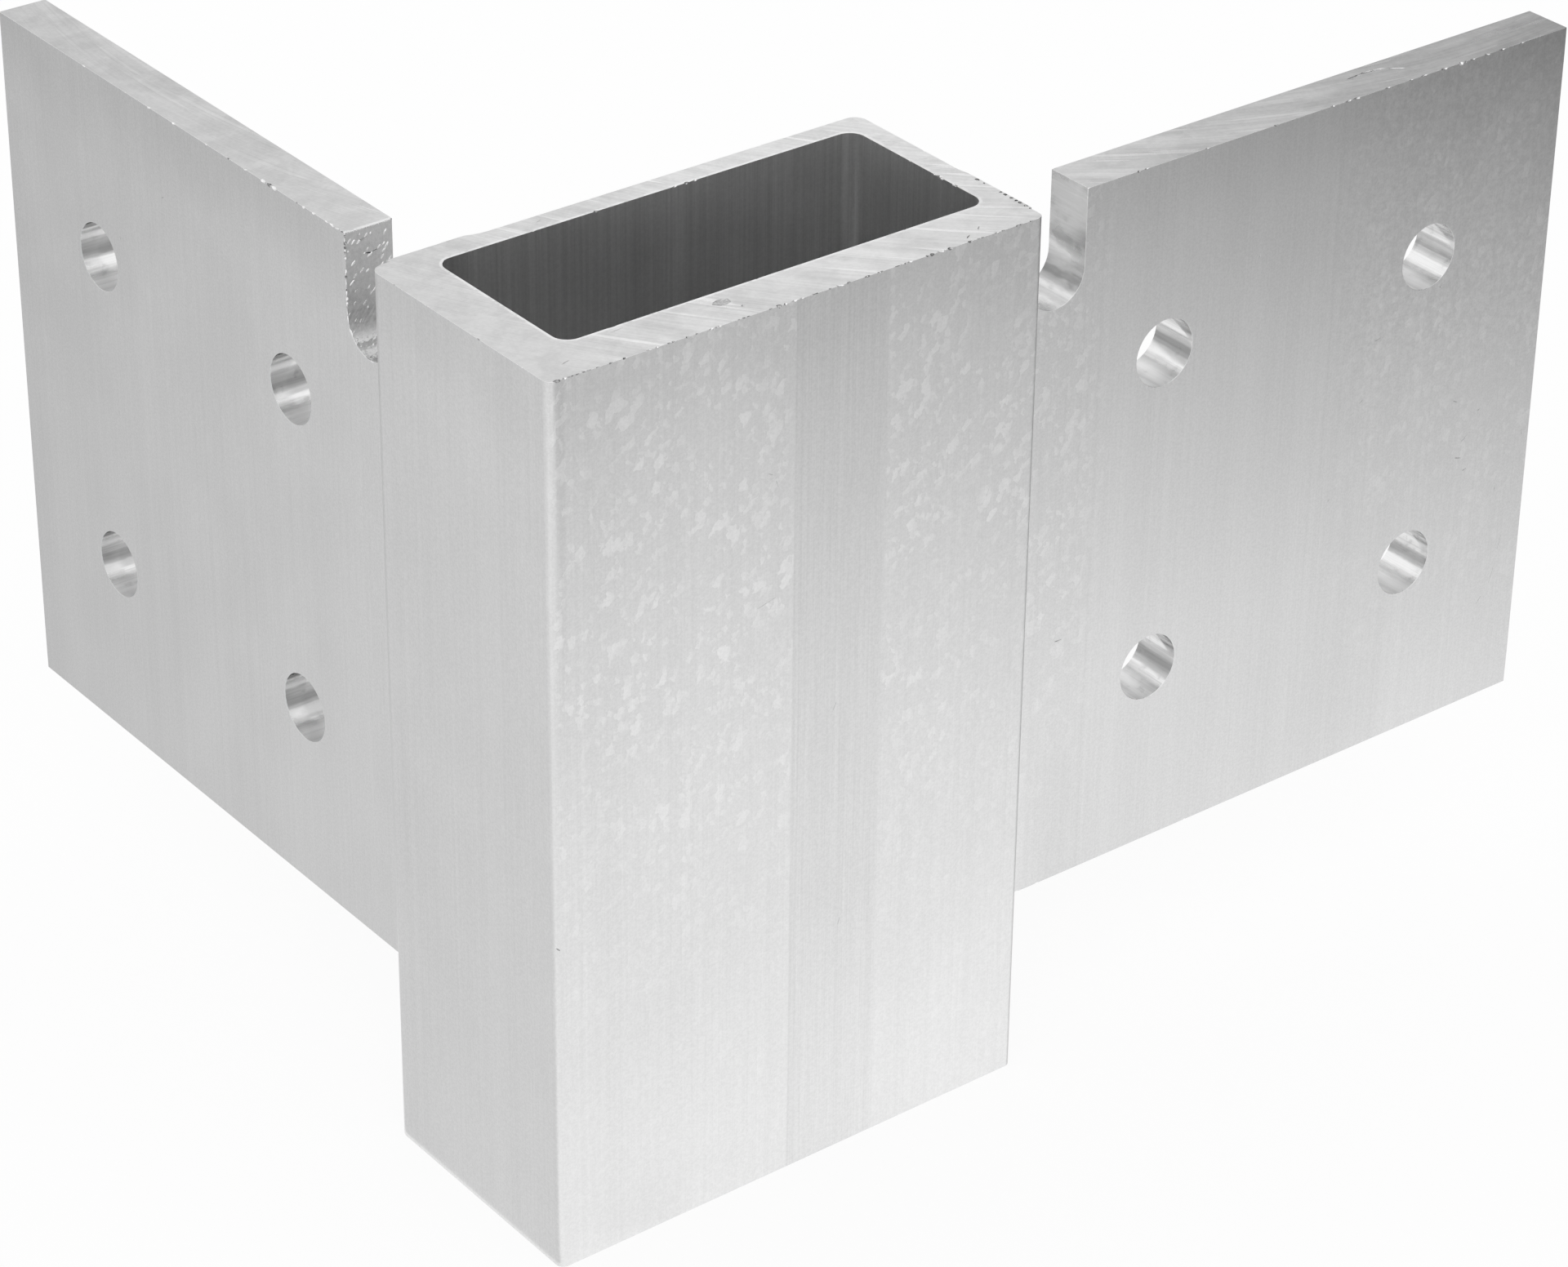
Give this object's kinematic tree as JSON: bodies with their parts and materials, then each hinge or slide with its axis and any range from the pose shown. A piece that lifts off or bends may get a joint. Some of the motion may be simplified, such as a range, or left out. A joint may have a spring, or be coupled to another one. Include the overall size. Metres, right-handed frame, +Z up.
{
  "type": "frame corner connector",
  "caption": "Extruded aluminium corner connector: a rectangular post tube between two flat plates at right angles, each with a square pattern of bolt holes and a notch beside the tube.",
  "frame": {"origin": "middle of the rectangular post pocket at the tube's lower end", "axes": "+Z up the tube along the extrusion, +X along the pocket's long side towards the plate in line with the long outer face, +Y along the pocket's short side towards the other plate"},
  "size_m": [0.229, 0.178, 0.173],
  "materials": {
    "mill_aluminium": "mill finish with die lines, saw-cut ends and machined bores"
  },
  "bodies": {
    "root": {"corner_connector": "mill_aluminium"}
  },
  "joints": []
}
